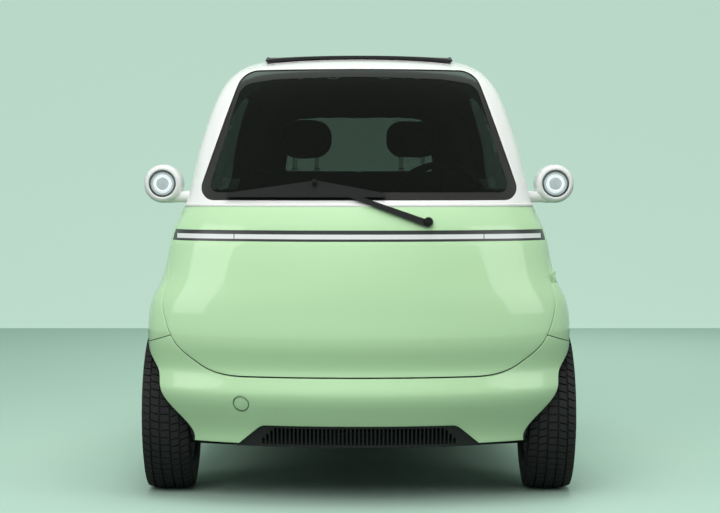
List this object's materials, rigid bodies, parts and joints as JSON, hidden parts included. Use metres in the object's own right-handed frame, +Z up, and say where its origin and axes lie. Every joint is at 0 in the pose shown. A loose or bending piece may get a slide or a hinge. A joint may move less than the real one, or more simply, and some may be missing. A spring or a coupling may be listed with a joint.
{
  "type": "electric microcar",
  "caption": "Two-tone two-seat electric bubble microcar with a full-width front door, light bar, lamp pods on the pillars, folding roof and tailgate.",
  "frame": {"origin": "on the ground below the middle of the car's overall length and width", "axes": "+Y from nose to tail along the car, +X towards the car's own left side, +Z up"},
  "size_m": [1.473, 2.5206, 1.501],
  "materials": {
    "green_paint": "solid pale mint paint under clear lacquer",
    "white_paint": "solid white paint under clear lacquer",
    "window_glass": "tinted laminated glass",
    "roof_fabric": "black woven roof cloth",
    "black_plastic": "grained black plastic",
    "light_bar_white": "white diffusing lamp cover",
    "tail_lamp_red": "red lamp cover",
    "pod_white": "white moulded shell",
    "lamp_lens": "clear lamp cover",
    "mirror_silver": "silvered mirror glass",
    "seat_fabric": "dark knitted seat cloth",
    "tyre_rubber": "tyre rubber",
    "rim_alloy": "silver lacquered cast alloy",
    "chassis_steel": "black coated steel",
    "cast_metal": "bare cast iron",
    "battery_case": "dark grey sealed case",
    "motor_case": "cast alloy case"
  },
  "bodies": {
    "body": {"battery_pack": "battery_case", "drive_motor": "motor_case", "floor_pan": "chassis_steel", "folding_roof": "roof_fabric", "front_bumper": "green_paint", "front_suspension": "chassis_steel", "headrests": "seat_fabric", "lamp_lenses": "lamp_lens", "lamp_pods": "pod_white", "lower_grille": "black_plastic", "mirror_glasses": "mirror_silver", "pedals": "chassis_steel", "rear_axle": "chassis_steel", "rear_bumper": "green_paint", "roof_shell": "white_paint", "seat_back": "seat_fabric", "seat_base": "seat_fabric", "seat_frame": "chassis_steel", "side_panel_left": "green_paint", "side_panel_right": "green_paint", "side_windows": "window_glass", "steering_column": "black_plastic", "wheel_liners": "black_plastic"},
    "front_door": {"door_panel": "green_paint", "windscreen_frame": "white_paint", "windscreen": "window_glass", "light_bar": "light_bar_white", "light_bar_trim": "black_plastic", "dashboard": "black_plastic", "wiper": "black_plastic"},
    "tailgate": {"tailgate_panel": "green_paint", "tailgate_frame": "white_paint", "rear_window": "window_glass", "tail_lamp": "tail_lamp_red"},
    "steering_wheel": {"steering_wheel": "black_plastic"},
    "knuckle_left": {"knuckle_left": "cast_metal"},
    "knuckle_right": {"knuckle_right": "cast_metal"},
    "wheel_front_left": {"tyre_front_left": "tyre_rubber", "rim_front_left": "rim_alloy"},
    "wheel_front_right": {"tyre_front_right": "tyre_rubber", "rim_front_right": "rim_alloy"},
    "wheel_rear_left": {"tyre_rear_left": "tyre_rubber", "rim_rear_left": "rim_alloy"},
    "wheel_rear_right": {"tyre_rear_right": "tyre_rubber", "rim_rear_right": "rim_alloy"}
  },
  "joints": [
    {"name": "front_door_hinge", "type": "hinge", "parent": "body", "child": "front_door", "pos_m": [0.643, -0.985, 0.725], "axis": [0, 0, 1], "range_deg": [0, 75]},
    {"name": "tailgate_hinge", "type": "hinge", "parent": "body", "child": "tailgate", "pos_m": [0, 0.65748, 1.4489], "axis": [1, 0, 0], "range_deg": [0, 70]},
    {"name": "steer_left", "type": "hinge", "parent": "body", "child": "knuckle_left", "pos_m": [0.6, -0.7895, 0.2675], "axis": [0, 0, 1], "range_deg": [-30, 30]},
    {"name": "steer_right", "type": "hinge", "parent": "body", "child": "knuckle_right", "pos_m": [-0.6, -0.7895, 0.2675], "axis": [0, 0, 1], "range_deg": [-30, 30]},
    {"name": "steering_wheel_turn", "type": "hinge", "parent": "body", "child": "steering_wheel", "pos_m": [0.29, -0.43, 0.955], "axis": [0, 0.9063, 0.4226], "range_deg": [-450, 450]},
    {"name": "spin_front_left", "type": "hinge", "parent": "knuckle_left", "child": "wheel_front_left", "pos_m": [0.639, -0.7895, 0.2675], "axis": [1, 0, 0], "continuous": true},
    {"name": "spin_front_right", "type": "hinge", "parent": "knuckle_right", "child": "wheel_front_right", "pos_m": [-0.639, -0.7895, 0.2675], "axis": [1, 0, 0], "continuous": true},
    {"name": "spin_rear_left", "type": "hinge", "parent": "body", "child": "wheel_rear_left", "pos_m": [0.525, 0.7765, 0.2675], "axis": [1, 0, 0], "continuous": true},
    {"name": "spin_rear_right", "type": "hinge", "parent": "body", "child": "wheel_rear_right", "pos_m": [-0.525, 0.7765, 0.2675], "axis": [1, 0, 0], "continuous": true}
  ],
  "couplings": [
    {"joint": "steer_right", "follows": "steer_left", "ratio": 1},
    {"joint": "steering_wheel_turn", "follows": "steer_left", "ratio": 15}
  ]
}
